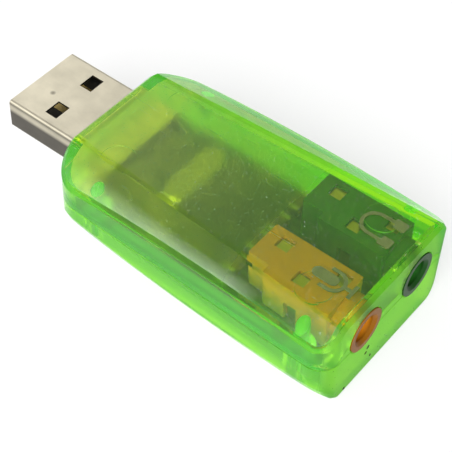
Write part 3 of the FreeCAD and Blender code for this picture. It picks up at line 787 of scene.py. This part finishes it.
class SOUNDCARD_OT_signs(Operator):
    """Add the headphone and microphone signs, raised on the ceiling over their jacks"""

    bl_idname = "soundcard.signs"
    bl_label = "Jack signs"

    def execute(self, context):
        look = context.scene.soundcard_signs
        matt = moulded_plastic("Acrylic, moulded, matt relief", look.relief, grit=0.2 * MM, roughness=0.6)
        for name, outlines, centre in (
            ("headphone_sign", headphone_outlines(), HEADPHONE_SIGN_PLACE),
            ("microphone_sign", microphone_outlines(), MICROPHONE_SIGN_PLACE),
        ):
            piece(name, relief_maker(outlines, centre, look.relief_height), matt)
        return {"FINISHED"}


def speck_maker(places, wall_x, thickness):
    """Function that fills a mesh with low uneven crumbs on an end wall, each at (y, z, radius)."""
    chance = random.Random(SPECK_SEED)

    def make(body):
        for y, z, radius in places:
            rim = []
            for step in range(SPECK_SIDES):
                turn = 2 * math.pi * step / SPECK_SIDES
                reach = radius * chance.uniform(SPECK_LEAST_REACH, 1.0)
                rim.append(body.verts.new((wall_x, y + reach * math.cos(turn), z + reach * math.sin(turn))))
            crest = [body.verts.new(corner.co) for corner in rim]
            for corner in crest:
                inward_y = (y - corner.co.y) * SPECK_TAPER
                inward_z = (z - corner.co.z) * SPECK_TAPER
                corner.co += Vector((thickness, inward_y, inward_z))
            body.faces.new(crest)
            body.faces.new(rim[::-1])
            for step in range(SPECK_SIDES):
                after = (step + 1) % SPECK_SIDES
                body.faces.new((rim[step], rim[after], crest[after], crest[step]))

    return make


class SOUNDCARD_OT_grime(Operator):
    """Add the dried specks on the wall round the jacks"""

    bl_idname = "soundcard.grime"
    bl_label = "Grime"

    def execute(self, context):
        look = context.scene.soundcard_signs
        crust = moulded_plastic("Dust, dried on", look.grime, grit=0.1 * MM, roughness=0.8)
        places = [(y * MM, z * MM, radius * MM) for y, z, radius in GRIME_SPECKS]
        piece("grime_specks", speck_maker(places, CASE_HIGH.x, look.grime_height), crust)
        return {"FINISHED"}


class SOUNDCARD_OT_stage(Operator):
    """Set up the floor, the sky, the lamp and the camera"""

    bl_idname = "soundcard.stage"
    bl_label = "Stage"

    def execute(self, context):
        look = context.scene.soundcard_stage
        self.floor(context, look)
        self.sky(context, look)
        self.lamp(context, look)
        self.camera(context, look)
        context.scene.view_settings.view_transform = "Standard"
        return {"FINISHED"}

    def floor(self, context, look):
        """Matt floor that looks white where it is seen and still takes the object's shadow."""
        material, tree, output, _ = start_material("Paper sweep, matt white")
        path = add(tree, "ShaderNodeLightPath")
        seen = add(
            tree, "ShaderNodeMath",
            {0: path.outputs["Is Camera Ray"], 1: path.outputs["Is Glossy Ray"]}, operation="ADD",
        )
        shown = add(
            tree, "ShaderNodeMath",
            {0: seen.outputs[0], 1: path.outputs["Is Transmission Ray"]}, operation="ADD", use_clamp=True,
        )
        white = add(
            tree, "ShaderNodeMath", {0: shown.outputs[0], 1: look.floor_white}, operation="MULTIPLY"
        )
        matt = add(tree, "ShaderNodeBsdfDiffuse", {"Color": look.floor})
        lift = add(tree, "ShaderNodeEmission", {"Color": WHITE, "Strength": white.outputs[0]})
        both = add(tree, "ShaderNodeAddShader", {0: matt.outputs[0], 1: lift.outputs[0]})
        tree.links.new(both.outputs[0], output.inputs["Surface"])
        mesh = bpy.data.meshes.new("floor")
        corners = [(FLOOR_HALF * x, FLOOR_HALF * y, 0) for x, y in ((-1, -1), (1, -1), (1, 1), (-1, 1))]
        mesh.from_pydata(corners, [], [(0, 1, 2, 3)])
        mesh.materials.append(material)
        ground = bpy.data.objects.new("floor", mesh)
        ground.location.z = -FLOOR_DROP
        context.scene.collection.objects.link(ground)

    def sky(self, context, look):
        """Even light from all round, with soft patches over the near side, beside the plug and behind it."""
        world = bpy.data.worlds.new("studio")
        world.use_nodes = True
        tree = world.node_tree
        tree.nodes.clear()
        way = add(tree, "ShaderNodeTexCoord").outputs["Generated"]
        total = look.sky
        for glow, (toward, tightness) in SKY_PATCHES.items():
            facing = add(tree, "ShaderNodeVectorMath", {0: way, 1: toward}, operation="DOT_PRODUCT")
            ahead = add(tree, "ShaderNodeMath", {0: facing.outputs["Value"], 1: 0.0}, operation="MAXIMUM")
            patch = add(tree, "ShaderNodeMath", {0: ahead.outputs[0], 1: tightness}, operation="POWER")
            joined = add(
                tree, "ShaderNodeMath",
                {0: patch.outputs[0], 1: getattr(look, glow), 2: total}, operation="MULTIPLY_ADD",
            )
            total = joined.outputs[0]
        light = add(tree, "ShaderNodeBackground", {"Color": WHITE, "Strength": total})
        output = add(tree, "ShaderNodeOutputWorld", {"Surface": light.outputs[0]})
        output.is_active_output = True
        context.scene.world = world

    def lamp(self, context, look):
        """Square soft box that points at the object."""
        data = bpy.data.lights.new("key_box", "AREA")
        data.energy = look.key_power
        data.size = KEY_SIDE
        box = bpy.data.objects.new("key_box", data)
        box.location = KEY_PLACE
        box.rotation_euler = Vector(KEY_PLACE).to_track_quat("Z", "Y").to_euler()
        context.scene.collection.objects.link(box)

    def camera(self, context, look):
        """Camera that was fitted to the plug's and the jacks' outlines."""
        data = bpy.data.cameras.new("camera")
        data.sensor_width = SENSOR_WIDTH
        data.lens = look.focal_pixels / IMAGE_SIDE * SENSOR_WIDTH
        data.clip_start = CAMERA_NEAR
        level = math.cos(look.camera_elevation)
        back = Vector((
            math.sin(look.camera_azimuth) * level,
            -math.cos(look.camera_azimuth) * level,
            math.sin(look.camera_elevation),
        ))
        right = Vector((0, 0, 1)).cross(back).normalized()
        up = back.cross(right)
        turn = Matrix((right, up, back)).transposed() @ Matrix.Rotation(look.camera_roll, 3, "Z")
        eye = bpy.data.objects.new("camera", data)
        place = CAMERA_TARGET + back * look.camera_distance
        eye.matrix_world = Matrix.Translation(place) @ turn.to_4x4()
        context.scene.collection.objects.link(eye)
        context.scene.camera = eye


class SOUNDCARD_PT_panel(Panel):
    """Lists the steps that dress the sound card"""

    bl_idname = "SOUNDCARD_PT_panel"
    bl_label = "Sound card"
    bl_space_type = "VIEW_3D"
    bl_region_type = "UI"
    bl_category = "Sound card"

    def draw(self, context):
        for step in STEPS:
            self.layout.operator(step.bl_idname)


STEPS = (
    SOUNDCARD_OT_case,
    SOUNDCARD_OT_plug,
    SOUNDCARD_OT_jacks,
    SOUNDCARD_OT_board,
    SOUNDCARD_OT_signs,
    SOUNDCARD_OT_grime,
    SOUNDCARD_OT_stage,
)
LOOKS = {
    "soundcard_case": CaseLook,
    "soundcard_plug": PlugLook,
    "soundcard_jacks": JackLook,
    "soundcard_board": BoardLook,
    "soundcard_signs": SignLook,
    "soundcard_stage": StageLook,
}


def register():
    """Adds the classes to Blender, and the looks to the scene."""
    for item in (*LOOKS.values(), *STEPS, SOUNDCARD_PT_panel):
        bpy.utils.register_class(item)
    for name, look in LOOKS.items():
        setattr(bpy.types.Scene, name, PointerProperty(type=look))


def unregister():
    """Takes the looks off the scene and the classes out of Blender."""
    for name in LOOKS:
        delattr(bpy.types.Scene, name)
    for item in reversed((*LOOKS.values(), *STEPS, SOUNDCARD_PT_panel)):
        bpy.utils.unregister_class(item)


def main():
    """Dresses the sound card step by step."""
    register()
    bpy.ops.soundcard.case()
    bpy.ops.soundcard.plug()
    bpy.ops.soundcard.jacks()
    bpy.ops.soundcard.board()
    bpy.ops.soundcard.signs()
    bpy.ops.soundcard.grime()
    bpy.ops.soundcard.stage()


if __name__ == "__main__":
    main()
